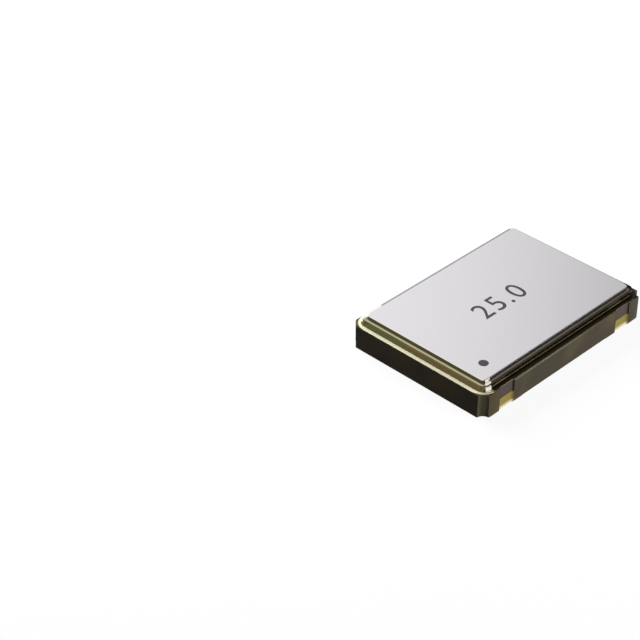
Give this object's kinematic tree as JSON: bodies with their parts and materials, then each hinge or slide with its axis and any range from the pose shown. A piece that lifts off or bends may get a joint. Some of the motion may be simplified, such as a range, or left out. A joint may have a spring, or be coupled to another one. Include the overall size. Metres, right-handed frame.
{
  "type": "crystal oscillator",
  "caption": "Flat surface-mount crystal oscillator: dark ceramic base with a seam-welded nickel lid on a brazed ring, gold solder pads underneath, and a chip and quartz blank sealed inside.",
  "frame": {"origin": "centre of the bounding box, on the plane of the solder faces of the terminals", "axes": "+X along the long side and +Z from the solder pads up to the lid; terminal 1 is at -X, -Y"},
  "size_m": [0.007, 0.005, 0.001],
  "materials": {
    "alumina_dark": "matte",
    "gold_plating": "satin",
    "braze_alloy": "satin",
    "plated_ring": "satin",
    "nickel_lid": "satin",
    "tungsten": "matte",
    "alumina_coat": "matte",
    "silicon": "gloss",
    "bond_pad_metal": "satin",
    "silver_adhesive": "matte",
    "quartz": "gloss",
    "silver_film": "satin",
    "gold_wire": "gloss"
  },
  "bodies": {
    "root": {"ceramic_base": "alumina_dark", "terminal_1": "gold_plating", "terminal_2": "gold_plating", "terminal_3": "gold_plating", "terminal_4": "gold_plating", "seal_metallisation": "gold_plating", "braze_fillet": "braze_alloy", "seal_ring": "plated_ring", "lid": "nickel_lid", "die_paddle": "gold_plating", "die_attach": "silver_adhesive", "oscillator_die": "silicon", "die_bond_pads": "bond_pad_metal", "enable_trace": "gold_plating", "ground_trace": "gold_plating", "output_trace": "gold_plating", "supply_trace": "gold_plating", "crystal_trace_a": "gold_plating", "crystal_trace_b": "gold_plating", "crystal_vias": "tungsten", "ring_ground_via": "tungsten", "crystal_lands": "gold_plating", "support_pillow": "alumina_coat", "crystal_adhesive": "silver_adhesive", "quartz_blank": "quartz", "electrode_top": "silver_film", "electrode_bottom": "silver_film", "bond_wires": "gold_wire"}
  },
  "joints": []
}
